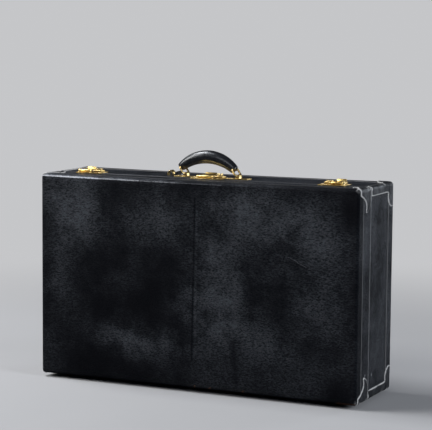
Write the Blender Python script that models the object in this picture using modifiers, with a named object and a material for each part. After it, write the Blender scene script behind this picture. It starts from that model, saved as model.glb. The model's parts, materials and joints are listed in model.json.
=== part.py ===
"""Leather suitcase that stands on its hinge side: lid in front (-Y), base behind, handle on top."""
import math

import bmesh
import bpy
from mathutils import Matrix, Vector

# Case body, in metres
case_length = 0.683
case_depth = 0.192
case_height = 0.408
lid_depth = 0.066
foot_height = 0.008
edge_radius = 0.006
edge_segments = 3

# Layers of the walls, from the outside in
panel_leather = 0.0020
band_inset = 0.0008
board = 0.0040
lining = 0.0010
gap = 0.0003
seam_gap = 0.0004
lid_turnover = 0.026
base_turnover = 0.031
overrun = 0.010

# Rim frame that stands out of the base into the lid
rim_wall = 0.0025
rim_reach = 0.008
rim_seat = 0.014

# Corner caps: leather thickness, reach down the end, reach along the top
cap_leather = 0.0010
cap_reach = 0.048
cap_wing = 0.030
cap_strip = 0.019
cap_margin = 0.0015

# Studs that the case stands on
foot_radius = 0.0085
foot_pad_radius = 0.0050
foot_rim = 0.0020
foot_steps = 20
foot_from_end = 0.046
foot_from_seam = 0.030
foot_from_back = 0.042

# Hinges along the lower side
hinge_from_end = 0.1315
hinge_width = 0.060
hinge_leaf_depth = 0.018
hinge_leaf = 0.0012
hinge_knuckle_radius = 0.0024
hinge_ear = 0.011
hinge_pin_radius = 0.0009

# Latches and lock: what they share
plate = 0.0015
plate_depth = 0.024
plate_from_seam = 0.0012
case_from_seam = 0.0045
fastener_case_depth = 0.018
fastener_case_rise = 0.0036
fastener_case_wall = 0.0010
hasp_leaf_depth = 0.0125
hasp_axis_from_seam = 0.0048
hasp_knuckle_radius = 0.0028
hasp_pin_radius = 0.0011
hasp_ear = 0.0040
hasp_sheet = 0.0016
hasp_overlap = 0.0215
hasp_lip = 0.0034
tongue_width = 0.0060
tongue_depth = 0.0060
tongue_from_front = 0.0025
tongue_play = 0.0010
slide_travel = 0.005
slide_block_depth = 0.008
slide_neck = 0.004
slide_pad_depth = 0.011
slide_pad = 0.0016
rib = 0.0012

# Latches
latch_from_end = 0.0775
latch_plate_width = 0.054
latch_case_width = 0.042
latch_hasp_offset = 0.009
latch_hasp_width = 0.022
latch_pad_offset = 0.0125
latch_pad_width = 0.012
latch_rib_height = 0.0008
latch_rib_count = 3

# Centre lock
lock_plate_width = 0.064
lock_case_width = 0.046
lock_case_offset = 0.006
lock_hasp_offset = 0.003
lock_hasp_width = 0.028
lock_pad_offset = 0.0205
lock_pad_width = 0.009
lock_rib_height = 0.0032
lock_rib_count = 2
barrel_radius = 0.0050
barrel_rise = 0.0020
barrel_from_centre = 0.0245
keyhole_radius = 0.0012
keyhole_slot = 0.0030

# Handle
handle_from_seam = 0.020
handle_plate_length = 0.048
handle_plate_from_lock = 0.001
handle_plate_width = 0.020
handle_plate = 0.0020
lug_radius = 0.0040
lug_length = 0.014
ring_wire = 0.0021
ring_width = 0.0260
ring_height = 0.0165
ring_corner = 0.0050
ring_lean = math.radians(33.0)
eye_radius = 0.0042
core_width = 0.014
core_strap = 0.0024
grip_rise = 0.0217
grip_short_of_eye = 0.0062
grip_half_thick = 0.0132
grip_half_wide = 0.0132
grip_end_half_thick = 0.0080
grip_end_half_wide = 0.0090
grip_fullness = 0.85
grip_stations = 12
grip_sides = 16

# Strap loop and brass loop beside the handle's left mount
loop_width = 0.012
loop_behind_mount = 0.002
strap_loop_from_mount = 0.0255
strap_loop_length = 0.0150
strap_loop_rise = 0.0090
strap_loop_sheet = 0.0020
brass_loop_from_mount = 0.0425
brass_loop_length = 0.0140
brass_loop_rise = 0.0105
brass_loop_sheet = 0.0016

arc_steps = 6
round_sides = 16

# Places worked out from the sizes above
face_front = -case_depth / 2
face_back = case_depth / 2
seam_y = face_front + lid_depth
bottom_z = foot_height
top_z = foot_height + case_height
middle_z = foot_height + case_height / 2
board_inset = panel_leather + gap
lining_inset = board_inset + board + gap
rim_inset = lining_inset
mount_top = top_z - band_inset + gap
mount_bottom = bottom_z + band_inset - gap
hinge_axis_z = mount_bottom - hinge_knuckle_radius
hasp_axis_y = seam_y - hasp_axis_from_seam
hasp_axis_z = mount_top + plate + gap + hasp_knuckle_radius
latch_spacing = case_length / 2 - latch_from_end
hinge_spacing = case_length / 2 - hinge_from_end
base_depth = case_depth - lid_depth
handle_y = seam_y + handle_from_seam
handle_spacing = lock_plate_width / 2 + handle_plate_from_lock + handle_plate_length / 2
lug_z = mount_top + handle_plate + lug_radius - gap
ring_shift = ring_height * math.sin(ring_lean)
eye_z = lug_z + ring_height * math.cos(ring_lean)

# Outline of a lid cap: shares of the lid's depth and of the cap's reach
lid_cap_shares = [
    (0.96, -0.30), (0.96, 0.52), (0.93, 0.70), (0.86, 0.84), (0.76, 0.93), (0.65, 1.00),
    (0.58, 0.98), (0.56, 0.90), (0.60, 0.78), (0.62, 0.68), (0.55, 0.56), (0.42, 0.45),
    (0.26, 0.36), (0.10, 0.28), (0.10, -0.30),
]
# Outline of a base cap's petal: shares of the turned-over leather and of the cap's reach
base_petal_shares = [
    (1.08, 0.40), (1.10, 0.60), (1.02, 0.78), (0.84, 0.91), (0.60, 0.98), (0.38, 1.00), (0.20, 0.98),
]

for old in list(bpy.data.objects):
    bpy.data.objects.remove(old, do_unlink=True)

parts = bpy.data.collections.new("leather_suitcase")
cutters = bpy.data.collections.new("suitcase_cutters")
bpy.context.scene.collection.children.link(parts)
bpy.context.scene.collection.children.link(cutters)


def finish(name, colour, roughness, metallic):
    """A plain Principled material."""
    made = bpy.data.materials.get(name) or bpy.data.materials.new(name)
    made.use_nodes = True
    shader = made.node_tree.nodes["Principled BSDF"]
    shader.inputs["Base Color"].default_value = (*colour, 1)
    shader.inputs["Roughness"].default_value = roughness
    shader.inputs["Metallic"].default_value = metallic
    return made


grained_leather = ("grained leather", (0.030, 0.032, 0.037), 0.42, 0.0)
smooth_leather = ("smooth leather", (0.022, 0.023, 0.027), 0.25, 0.0)
worn_leather = ("worn leather", (0.060, 0.060, 0.065), 0.50, 0.0)
fibre_board = ("fibre board", (0.260, 0.180, 0.110), 0.85, 0.0)
lining_cloth = ("lining cloth", (0.300, 0.235, 0.165), 0.80, 0.0)
brass = ("brass", (0.760, 0.560, 0.250), 0.25, 1.0)
steel = ("steel", (0.500, 0.500, 0.500), 0.35, 1.0)


def show(mesh, name, surface, smooth=True):
    """Put a mesh into the parts as one named object with its finish."""
    made = bpy.data.objects.new(name, mesh)
    mesh.name = name
    parts.objects.link(made)
    mesh.materials.clear()
    mesh.materials.append(finish(*surface))
    if smooth:
        mesh.shade_smooth()
        mesh.set_sharp_from_angle(angle=math.radians(35))
    return made


def hide(mesh, name):
    """Put a mesh into the cutters, out of the render."""
    made = bpy.data.objects.new(name, mesh)
    cutters.objects.link(made)
    made.hide_render = True
    made.display_type = "WIRE"
    return made


def join(target, tool, operation, solver="EXACT"):
    """Boolean modifier on the target with the tool."""
    step = target.modifiers.new(tool.name, "BOOLEAN")
    step.operation = operation
    step.solver = solver
    step.object = tool
    return target


def mesh_from(bm, name):
    """Mesh with outward faces from a bmesh."""
    bmesh.ops.recalc_face_normals(bm, faces=bm.faces)
    mesh = bpy.data.meshes.new(name)
    bm.to_mesh(mesh)
    bm.free()
    return mesh


def block(name, low, high, radius=0, edge_choice=None):
    """Box between two corners, with the chosen edges rounded."""
    bm = bmesh.new()
    bmesh.ops.create_cube(bm, size=1)
    size = Vector(high) - Vector(low)
    bmesh.ops.scale(bm, vec=size, verts=bm.verts)
    bmesh.ops.translate(bm, vec=(Vector(low) + Vector(high)) / 2, verts=bm.verts)
    if radius > 0:
        chosen = [edge for edge in bm.edges if edge_choice is None or edge_choice(edge)]
        bmesh.ops.bevel(bm, geom=chosen, offset=radius, offset_type="OFFSET", profile=0.5,
                        segments=edge_segments, affect="EDGES", clamp_overlap=True)
    return mesh_from(bm, name)


def rod(name, centre, axis, radius, length, sides=round_sides):
    """Round bar along an axis letter."""
    turn = {"X": Matrix.Rotation(math.pi / 2, 4, "Y"), "Y": Matrix.Rotation(math.pi / 2, 4, "X"),
            "Z": Matrix.Identity(4)}[axis]
    bm = bmesh.new()
    bmesh.ops.create_cone(bm, cap_ends=True, segments=sides, radius1=radius, radius2=radius,
                          depth=length, matrix=Matrix.Translation(centre) @ turn)
    return mesh_from(bm, name)


def arc(centre, radius, start, end, steps=arc_steps):
    """Points along an arc, angles in degrees."""
    points = []
    for step in range(steps + 1):
        angle = math.radians(start + (end - start) * step / steps)
        points.append((centre[0] + radius * math.cos(angle), centre[1] + radius * math.sin(angle)))
    return points


def outline(name, axis, start, end, points, holes=()):
    """Closed flat outline, drawn across an axis letter and as thick as start to end along it.

    Points are (Y, Z) for X, (X, Z) for Y and (X, Y) for Z.
    """
    sheet = bpy.data.curves.new(name, "CURVE")
    sheet.dimensions = "2D"
    sheet.fill_mode = "BOTH"
    sheet.extrude = abs(end - start) / 2
    for loop in [points, *holes]:
        spline = sheet.splines.new("POLY")
        spline.points.add(len(loop) - 1)
        for point, (u, v) in zip(spline.points, loop):
            point.co = (v, u, 0, 1) if axis == "Y" else (u, v, 0, 1)
        spline.use_cyclic_u = True
    holder = bpy.data.objects.new(name, sheet)
    bpy.context.scene.collection.objects.link(holder)
    rows = {"X": ((0, 0, 1), (1, 0, 0), (0, 1, 0)), "Y": ((0, 1, 0), (0, 0, 1), (1, 0, 0)),
            "Z": ((1, 0, 0), (0, 1, 0), (0, 0, 1))}[axis]
    holder.matrix_world = Matrix(rows).to_4x4()
    bpy.context.view_layer.update()
    seen = holder.evaluated_get(bpy.context.evaluated_depsgraph_get())
    mesh = bpy.data.meshes.new_from_object(seen)
    along = {"X": Vector((1, 0, 0)), "Y": Vector((0, 1, 0)), "Z": Vector((0, 0, 1))}[axis]
    bm = bmesh.new()
    bm.from_mesh(mesh)
    bpy.data.meshes.remove(mesh)
    bmesh.ops.remove_doubles(bm, verts=bm.verts, dist=gap / 100)
    bmesh.ops.transform(bm, matrix=Matrix.Translation(along * (start + end) / 2) @ holder.matrix_world,
                        verts=bm.verts)
    bpy.data.objects.remove(holder, do_unlink=True)
    return mesh_from(bm, name)


class Half:
    """Lid or base: depths run from its outer panel towards the seam."""

    def __init__(self, name, face, into, depth, turnover):
        self.name = name
        self.face = face
        self.into = into
        self.depth = depth
        self.turnover = turnover

    def y(self, depth):
        return self.face + self.into * depth


lid = Half("lid", face_front, 1, lid_depth, lid_turnover)
base = Half("base", face_back, -1, base_depth, base_turnover)


def case_block(name, half, inset, start, end, radius=0, round_panel=False):
    """Block that follows the case's outline, inset on its four sides, between two depths."""
    near = half.y(start)
    far = half.y(end)
    low = (-case_length / 2 + inset, min(near, far), bottom_z + inset)
    high = (case_length / 2 - inset, max(near, far), top_z - inset)

    def chosen(edge):
        first, second = (vert.co for vert in edge.verts)
        along_depth = abs(first.y - second.y) > gap
        on_panel = abs(first.y - near) < gap / 10 and abs(second.y - near) < gap / 10
        return along_depth or (round_panel and on_panel)

    return block(name, low, high, radius, chosen)


def build_half(half):
    """Board, leather and lining of the lid or the base."""
    seam_end = half.depth - seam_gap / 2
    cutter_end = half.depth + overrun
    under = edge_radius - panel_leather

    skin = show(case_block(half.name, half, 0, 0, half.turnover, edge_radius, True),
                half.name + "_panel_leather", grained_leather)
    skin_tool = hide(case_block("tool", half, panel_leather, panel_leather, cutter_end, under, True),
                     half.name + "_panel_leather_inside")
    join(skin, skin_tool, "DIFFERENCE")

    band_start = half.turnover + gap
    band = show(case_block(half.name, half, band_inset, band_start, seam_end, edge_radius - band_inset),
                half.name + "_band_leather", grained_leather)
    band_tool = hide(case_block("tool", half, panel_leather, band_start - overrun, cutter_end, under),
                     half.name + "_band_leather_inside")
    join(band, band_tool, "DIFFERENCE")

    shell = show(case_block(half.name, half, board_inset, board_inset, seam_end, under - gap, True),
                 half.name + "_board", fibre_board)
    shell_tool = hide(case_block("tool", half, board_inset + board, board_inset + board, cutter_end),
                      half.name + "_board_inside")
    join(shell, shell_tool, "DIFFERENCE")

    if half is lid:
        lining_end = half.depth - rim_reach - gap * 2
    else:
        lining_end = half.depth - rim_seat - gap
    cloth = show(case_block(half.name, half, lining_inset, lining_inset, lining_end),
                 half.name + "_lining", lining_cloth, smooth=False)
    cloth_tool = hide(case_block("tool", half, lining_inset + lining, lining_inset + lining, cutter_end),
                      half.name + "_lining_inside")
    join(cloth, cloth_tool, "DIFFERENCE")


def build_rim():
    """Frame inside the base that stands out into the lid."""
    start = base.depth - rim_seat
    end = base.depth + rim_reach
    rim = show(case_block("rim", base, rim_inset, start, end), "base_rim_frame", smooth_leather, smooth=False)
    tool = hide(case_block("tool", base, rim_inset + rim_wall, start - overrun, end + overrun), "rim_inside")
    join(rim, tool, "DIFFERENCE")


def end_x(end, inward):
    """Place along X, measured inward from the left (-1) or right (1) end."""
    return end * (case_length / 2 - inward)


def level_z(level, inward):
    """Height, measured inward from the lower (-1) or upper (1) side."""
    return middle_z + level * (case_height / 2 - inward)


def cap_outline(half, reach, strip):
    """Outline of a cap on one face: (depth, reach inward from the edge)."""
    if half is lid:
        return [(across * lid_depth, down * reach) for across, down in lid_cap_shares]
    petal = [(across * base_turnover, down * reach) for across, down in base_petal_shares]
    first_depth = petal[0][0]
    last_down = petal[-1][1]
    seam_side = base_depth - cap_margin
    return [(seam_side, -overrun), (seam_side, strip), (first_depth, strip), *petal,
            (edge_radius, last_down), (edge_radius, -overrun)]


def build_cap(half, end, level, name):
    """Leather cap folded over the rounded edge where an end meets the upper or lower side."""
    outer = gap + cap_leather
    end_leg = cap_reach + overrun
    top_leg = cap_wing + overrun
    centre = (edge_radius, edge_radius)
    section = [(-outer, end_leg), *arc(centre, edge_radius + outer, 180, 270), (top_leg, -outer)]
    section += [(top_leg, -gap), *arc(centre, edge_radius + gap, 270, 180), (-gap, end_leg)]
    places = [(end_x(end, inward), level_z(level, down)) for inward, down in section]
    near, far = sorted((half.y(0), half.y(half.depth)))
    cap = show(outline(name, "Y", near, far, places), name, worn_leather)
    on_end = [(half.y(depth), level_z(level, down)) for depth, down in cap_outline(half, cap_reach, cap_strip)]
    edge_low = end_x(end, case_length / 4)
    edge_high = end_x(end, -overrun)
    end_tool = hide(outline("tool", "X", min(edge_low, edge_high), max(edge_low, edge_high), on_end),
                    name + "_end_shape")
    join(cap, end_tool, "INTERSECT")
    wing_strip = cap_strip * cap_wing / cap_reach
    on_side = [(end_x(end, inward), half.y(depth)) for depth, inward in cap_outline(half, cap_wing, wing_strip)]
    side_low, side_high = sorted((level_z(level, case_height / 4), level_z(level, -overrun)))
    side_tool = hide(outline("tool", "Z", side_low, side_high, on_side), name + "_side_shape")
    join(cap, side_tool, "INTERSECT")


def build_foot(name, x, y):
    """Turned stud with a flat pad to stand on."""
    top = mount_bottom
    profile = [(0, top), (foot_radius, top), (foot_radius, top - foot_rim)]
    dome = foot_radius - foot_pad_radius
    drop = top - foot_rim
    for step in range(1, arc_steps):
        angle = math.pi / 2 * step / arc_steps
        profile.append((foot_pad_radius + dome * math.cos(angle), drop * (1 - math.sin(angle))))
    profile += [(foot_pad_radius, 0), (0, 0)]
    mesh = bpy.data.meshes.new(name)
    mesh.from_pydata([(radius, 0, height) for radius, height in profile],
                     [(index, index + 1) for index in range(len(profile) - 1)], [])
    foot = show(mesh, name, brass, smooth=False)
    foot.location = (x, y, 0)
    turn = foot.modifiers.new("turn", "SCREW")
    turn.steps = foot_steps
    turn.render_steps = foot_steps
    turn.use_merge_vertices = True
    turn.merge_threshold = 0.00005
    turn.use_smooth_shade = True


def knuckle_profile(axis, radius, away, sheet, reach, above):
    """Sheet that leaves a knuckle at its tangent: above or below it, running away along Y."""
    side = 1 if above else -1
    flat = axis[1] + side * radius
    inner = flat - side * sheet
    meet = math.sqrt(max(radius ** 2 - (radius - sheet) ** 2, 0))
    start = 90 * side
    turned = math.degrees(math.atan2(inner - axis[1], meet))
    points = [(axis[0] + away * reach, inner), (axis[0] + away * reach, flat)]
    loop = arc((0, 0), radius, start, start + side * (360 - abs(start - turned)), round_sides)
    points += [(axis[0] + away * across, axis[1] + up) for across, up in loop]
    return points


def bore(axis, radius):
    """Round hole of an outline."""
    return arc(axis, radius, 0, 360 - 360 / round_sides, round_sides - 1)


def build_hinge(name, x):
    """Butt hinge below the seam: leaf on the base, leaf on the lid, pin."""
    axis = (seam_y, hinge_axis_z)
    hole = bore(axis, hinge_pin_radius + gap)
    left = x - hinge_width / 2
    right = x + hinge_width / 2
    base_profile = knuckle_profile(axis, hinge_knuckle_radius, 1, hinge_leaf, hinge_leaf_depth, True)
    fixed = show(outline(name, "X", left, right, base_profile, [hole]), name + "_base_leaf", brass)
    reach = hinge_knuckle_radius + gap * 3
    room = block("tool", (left + hinge_ear, seam_y - reach, hinge_axis_z - reach),
                 (right - hinge_ear, seam_y + reach, mount_bottom + overrun))
    join(fixed, hide(room, name + "_knuckle_room"), "DIFFERENCE", "MANIFOLD")
    lid_profile = knuckle_profile(axis, hinge_knuckle_radius, -1, hinge_leaf, hinge_leaf_depth, True)
    show(outline(name, "X", left + hinge_ear + gap, right - hinge_ear - gap, lid_profile, [hole]),
         name + "_lid_leaf", brass)
    show(rod(name, (x, *axis), "X", hinge_pin_radius, hinge_width), name + "_pin", steel)


def ribs(target, name, centre_x, width, count, low, high, depth_low, depth_high):
    """Upright ribs across a slide's pad, joined to it."""
    for index in range(count):
        share = index / (count - 1) - 0.5
        x = centre_x + share * (width - rib)
        bar = block("tool", (x - rib / 2, depth_low, low), (x + rib / 2, depth_high, high))
        join(target, hide(bar, name + "_rib_" + str(index + 1)), "UNION")


def build_fastener(name, x, inward, sizes):
    """Latch or lock: plate, case and slide on the base, hasp and its leaf on the lid."""
    plate_top = mount_top + plate
    floor = plate_top + gap
    roof = floor + fastener_case_rise
    case_y = seam_y + case_from_seam
    case_back = case_y + fastener_case_depth
    case_x = x + inward * sizes["case_offset"]
    hasp_x = x - inward * sizes["hasp_offset"]
    half_case = sizes["case_width"] / 2
    half_plate = sizes["plate_width"] / 2
    half_hasp = sizes["hasp_width"] / 2

    low = (x - half_plate, seam_y + plate_from_seam, mount_top)
    high = (x + half_plate, seam_y + plate_from_seam + plate_depth, plate_top)
    show(block(name, low, high), name + "_plate", brass, smooth=False)

    box = show(block(name, (case_x - half_case, case_y, floor), (case_x + half_case, case_back, roof),
                     fastener_case_wall * 0.9, lambda edge: max(v.co.z for v in edge.verts) > floor + gap),
               name + "_case", brass)
    wall = fastener_case_wall
    hollow = block("tool", (case_x - half_case + wall, case_y + wall, floor - overrun),
                   (case_x + half_case - wall, case_back - wall, roof - wall))
    join(box, hide(hollow, name + "_case_hollow"), "DIFFERENCE")
    slot_half = tongue_width / 2 + tongue_play
    slot_end = case_y + tongue_from_front + tongue_depth + tongue_play
    slot = block("tool", (hasp_x - slot_half, case_y - overrun, floor - overrun),
                 (hasp_x + slot_half, slot_end, roof + overrun))
    join(box, hide(slot, name + "_tongue_slot"), "DIFFERENCE")

    pad_x = x + inward * sizes["pad_offset"]
    half_neck = slide_neck / 2
    neck_span = sorted((pad_x - inward * (half_neck + gap), pad_x + inward * (half_neck + gap + slide_travel)))
    slide_y = (case_y + case_back) / 2
    neck_slot = block("tool", (neck_span[0], slide_y - half_neck - gap, roof - wall - gap),
                      (neck_span[1], slide_y + half_neck + gap, roof + overrun))
    join(box, hide(neck_slot, name + "_neck_slot"), "DIFFERENCE")

    bolt_tip = hasp_x + inward * (tongue_width / 2 + gap)
    bolt_tail = case_x + inward * (half_case - wall - gap - slide_travel)
    bolt = sorted((bolt_tip, bolt_tail))
    half_block = slide_block_depth / 2
    slide = show(block(name, (bolt[0], slide_y - half_block, floor + gap),
                       (bolt[1], slide_y + half_block, roof - wall - gap)), name + "_slide", brass, smooth=False)
    pad_low = roof + gap
    pad_high = pad_low + slide_pad
    neck = block("tool", (pad_x - half_neck, slide_y - half_neck, floor + gap * 2),
                 (pad_x + half_neck, slide_y + half_neck, pad_low + slide_pad / 2))
    join(slide, hide(neck, name + "_slide_neck"), "UNION")
    half_pad = sizes["pad_width"] / 2
    pad_front = slide_y - slide_pad_depth / 2
    pad_back = slide_y + slide_pad_depth / 2
    pad = block("tool", (pad_x - half_pad, pad_front, pad_low), (pad_x + half_pad, pad_back, pad_high))
    join(slide, hide(pad, name + "_slide_pad"), "UNION")
    ribs(slide, name + "_slide", pad_x, sizes["pad_width"] - rib, sizes["rib_count"], pad_low + slide_pad / 2,
         pad_high + sizes["rib_height"], pad_front + rib, pad_back - rib)

    axis = (hasp_axis_y, hasp_axis_z)
    hole = bore(axis, hasp_pin_radius + gap)
    leaf_low = (x - half_plate, seam_y - plate_from_seam - hasp_leaf_depth, mount_top)
    leaf_high = (x + half_plate, seam_y - plate_from_seam, plate_top)
    leaf = show(block(name, leaf_low, leaf_high), name + "_leaf", brass, smooth=False)
    ear_end = half_hasp + gap + hasp_ear
    radius = hasp_knuckle_radius
    ear_points = [(axis[0] - radius, mount_top + plate / 2), (axis[0] + radius, mount_top + plate / 2)]
    ear_points += arc(axis, radius, 0, 180, round_sides // 2)
    ears = hide(outline("tool", "X", hasp_x - ear_end, hasp_x + ear_end, ear_points, [hole]), name + "_leaf_ears")
    room = block("tool", (hasp_x - half_hasp - gap, axis[0] - overrun, plate_top),
                 (hasp_x + half_hasp + gap, axis[0] + overrun, hasp_axis_z + overrun))
    join(ears, hide(room, name + "_hasp_room"), "DIFFERENCE")
    join(leaf, ears, "UNION")
    show(rod(name, (hasp_x, *axis), "X", hasp_pin_radius, ear_end * 2), name + "_pin", steel)

    hasp_reach = hasp_axis_from_seam + hasp_overlap
    profile = knuckle_profile(axis, radius, 1, hasp_sheet, hasp_reach, True)
    hasp = show(outline(name, "X", hasp_x - half_hasp, hasp_x + half_hasp, profile, [hole]), name + "_hasp", brass)
    flat = hasp_axis_z + radius
    lip_y = axis[0] + hasp_reach
    lip_points = [(lip_y - hasp_sheet, flat - hasp_sheet / 2), (lip_y, flat - hasp_sheet / 2),
                  (lip_y + hasp_lip / 2, flat + hasp_lip), (lip_y + hasp_lip / 2 - hasp_sheet, flat + hasp_lip)]
    lip_half = half_hasp - hasp_sheet
    lip = outline("tool", "X", hasp_x - lip_half, hasp_x + lip_half, lip_points)
    join(hasp, hide(lip, name + "_hasp_lip"), "UNION")
    tongue_y = case_y + tongue_from_front
    tongue = block("tool", (hasp_x - tongue_width / 2, tongue_y, floor + gap * 2),
                   (hasp_x + tongue_width / 2, tongue_y + tongue_depth, flat - hasp_sheet / 2))
    join(hasp, hide(tongue, name + "_hasp_tongue"), "UNION")


def build_key_barrel():
    """Round key barrel beside the lock's case."""
    x = -barrel_from_centre
    y = seam_y + case_from_seam + fastener_case_depth / 2
    low = mount_top + plate + gap
    barrel = show(rod("barrel", (x, y, low + barrel_rise / 2), "Z", barrel_radius, barrel_rise, round_sides + 8),
                  "lock_key_barrel", brass)
    hole = rod("tool", (x, y, low + barrel_rise), "Z", keyhole_radius, barrel_rise)
    slot = block("tool", (x - keyhole_radius / 2, y - keyhole_slot, low + barrel_rise / 2),
                 (x + keyhole_radius / 2, y, low + barrel_rise * 2))
    join(barrel, hide(hole, "keyhole_round"), "DIFFERENCE")
    join(barrel, hide(slot, "keyhole_slot"), "DIFFERENCE")


def build_handle_mount(name, x):
    """Plate with a tube along Y that holds a ring."""
    low = (x - handle_plate_length / 2, handle_y - handle_plate_width / 2, mount_top)
    high = (x + handle_plate_length / 2, handle_y + handle_plate_width / 2, mount_top + handle_plate)
    mount = show(block(name, low, high, handle_plate, lambda edge: abs(edge.verts[0].co.z - edge.verts[1].co.z) > gap),
                 name, brass)
    axis = (x, lug_z)
    points = [(x - lug_radius, mount_top + handle_plate / 2), (x + lug_radius, mount_top + handle_plate / 2)]
    points += arc(axis, lug_radius, 0, 180, round_sides // 2)
    lug = outline("tool", "Y", handle_y - lug_length / 2, handle_y + lug_length / 2, points)
    join(mount, hide(lug, name + "_lug"), "UNION")
    hole = rod("tool", (x, handle_y, lug_z), "Y", ring_wire + gap, lug_length + overrun)
    join(mount, hide(hole, name + "_bore"), "DIFFERENCE")


def build_loop(name, x, length, rise, sheet, surface):
    """Low arched band that stands on the upper side."""
    points = []
    for reach, top, order in ((length / 2, rise, 1), (length / 2 - sheet, rise - sheet, -1)):
        half_turn = arc((0, 0), 1, 0, 180, round_sides)[::order]
        points += [(x + reach * across, mount_top + top * up) for across, up in half_turn]
    front = handle_y + handle_plate_width / 2 + loop_behind_mount
    band = outline(name, "Y", front, front + loop_width, points)
    show(band, name, surface)


def build_ring(name, x):
    """Wire ring whose lower bar turns in the mount's tube."""
    half = ring_width / 2
    turn = ring_corner
    path = arc((half - turn, turn), turn, -90, 0) + arc((half - turn, ring_height - turn), turn, 0, 90)
    path += arc((-half + turn, ring_height - turn), turn, 90, 180) + arc((-half + turn, turn), turn, 180, 270)
    wire = bpy.data.curves.new(name, "CURVE")
    wire.dimensions = "3D"
    wire.bevel_depth = ring_wire
    wire.bevel_resolution = 2
    wire.resolution_u = 1
    wire.render_resolution_u = 0
    spline = wire.splines.new("POLY")
    spline.points.add(len(path) - 1)
    for point, (across, up) in zip(spline.points, path):
        point.co = (0, across, up, 1)
    spline.use_cyclic_u = True
    ring = bpy.data.objects.new(name, wire)
    parts.objects.link(ring)
    wire.materials.append(finish(*brass))
    ring.location = (x, handle_y, lug_z)
    ring.rotation_euler = (0, -ring_lean, 0)


arch_radius = (handle_spacing ** 2 + grip_rise ** 2) / (2 * grip_rise)
arch_centre = (-ring_shift, eye_z + grip_rise - arch_radius)
arch_half_angle = math.asin(handle_spacing / arch_radius)


def arch(share, offset=0):
    """Point of the handle's arch and its outward direction; share runs -1 to 1 between the eyes."""
    angle = share * arch_half_angle
    radius = arch_radius + offset
    return (arch_centre[0] + radius * math.sin(angle), arch_centre[1] + radius * math.cos(angle)), angle


def strap_outline(thick, reach_share, steps):
    """Outline of a strap that follows the arch."""
    shares = [reach_share * (2 * step / steps - 1) for step in range(steps + 1)]
    upper = [arch(share, thick / 2)[0] for share in shares]
    lower = [arch(share, -thick / 2)[0] for share in reversed(shares)]
    return upper + lower


def build_core():
    """Brass strap along the handle's arch, with an eye at each end."""
    half = core_width / 2 - gap
    strap = outline("core", "Y", handle_y - half, handle_y + half, strap_outline(core_strap, 1, grip_stations))
    core = show(strap, "handle_core", brass)
    for side, word in ((-1, "left"), (1, "right")):
        place, angle = arch(side)
        eye = rod("tool", (place[0], handle_y, place[1]), "Y", eye_radius, core_width)
        join(core, hide(eye, "core_eye_" + word), "UNION")
        hole = rod("tool", (place[0], handle_y, place[1]), "Y", ring_wire + gap, core_width + overrun)
        join(core, hide(hole, "core_bore_" + word), "DIFFERENCE")


def build_grip():
    """Padded leather grip: round sections along the arch, hollow for the core."""
    reach_share = 1 - grip_short_of_eye / handle_spacing
    bm = bmesh.new()
    loops = []
    for station in range(grip_stations + 1):
        share = 2 * station / grip_stations - 1
        swell = math.cos(share * math.pi / 2) ** grip_fullness
        thick = grip_end_half_thick + (grip_half_thick - grip_end_half_thick) * swell
        wide = grip_end_half_wide + (grip_half_wide - grip_end_half_wide) * swell
        place, angle = arch(share * reach_share)
        ring = bmesh.ops.create_circle(bm, cap_ends=False, radius=1, segments=grip_sides)["verts"]
        stretch = Matrix.Diagonal((thick, wide, 1, 1))
        stand = Matrix.Rotation(angle, 4, "Y") @ Matrix.Rotation(-math.pi / 2, 4, "Y")
        move = Matrix.Translation((place[0], handle_y, place[1]))
        bmesh.ops.transform(bm, matrix=move @ stand @ stretch, verts=ring)
        loops.append([edge for edge in bm.edges if edge.verts[0] in ring and edge.verts[1] in ring])
    for first, second in zip(loops, loops[1:]):
        bmesh.ops.bridge_loops(bm, edges=first + second)
    bmesh.ops.holes_fill(bm, edges=bm.edges, sides=0)
    grip = show(mesh_from(bm, "handle_grip"), "handle_grip", smooth_leather)
    half = core_width / 2
    channel = outline("tool", "Y", handle_y - half, handle_y + half,
                      strap_outline(core_strap + gap * 2, 1, grip_stations))
    join(grip, hide(channel, "grip_channel"), "DIFFERENCE")


latch_sizes = {
    "plate_width": latch_plate_width, "case_width": latch_case_width, "case_offset": 0,
    "hasp_offset": latch_hasp_offset, "hasp_width": latch_hasp_width, "pad_offset": latch_pad_offset,
    "pad_width": latch_pad_width, "rib_height": latch_rib_height, "rib_count": latch_rib_count,
}
lock_sizes = {
    "plate_width": lock_plate_width, "case_width": lock_case_width, "case_offset": lock_case_offset,
    "hasp_offset": lock_hasp_offset, "hasp_width": lock_hasp_width, "pad_offset": lock_pad_offset,
    "pad_width": lock_pad_width, "rib_height": lock_rib_height, "rib_count": lock_rib_count,
}

for half in (base, lid):
    build_half(half)
    for end, end_word in ((-1, "left"), (1, "right")):
        for level, level_word in ((1, "upper"), (-1, "lower")):
            build_cap(half, end, level, "_".join((half.name, "corner", level_word, end_word)))
build_rim()
for end, end_word in ((-1, "left"), (1, "right")):
    foot_x = end_x(end, foot_from_end)
    build_foot("foot_lid_" + end_word, foot_x, seam_y - foot_from_seam)
    build_foot("foot_base_" + end_word, foot_x, face_back - foot_from_back)
    build_handle_mount("handle_mount_" + end_word, end * handle_spacing)
    build_ring("handle_ring_" + end_word, end * handle_spacing)
    build_fastener("latch_" + end_word, end * latch_spacing, -end, latch_sizes)
for place, word in ((-1, "left"), (0, "centre"), (1, "right")):
    build_hinge("hinge_" + word, place * hinge_spacing)
build_fastener("lock", 0, 1, lock_sizes)
build_key_barrel()
build_core()
build_grip()
build_loop("side_loop_strap", -handle_spacing - strap_loop_from_mount,
           strap_loop_length, strap_loop_rise, strap_loop_sheet, smooth_leather)
build_loop("side_loop_brass", -handle_spacing - brass_loop_from_mount,
           brass_loop_length, brass_loop_rise, brass_loop_sheet, brass)
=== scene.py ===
import json
import math
import random

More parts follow.
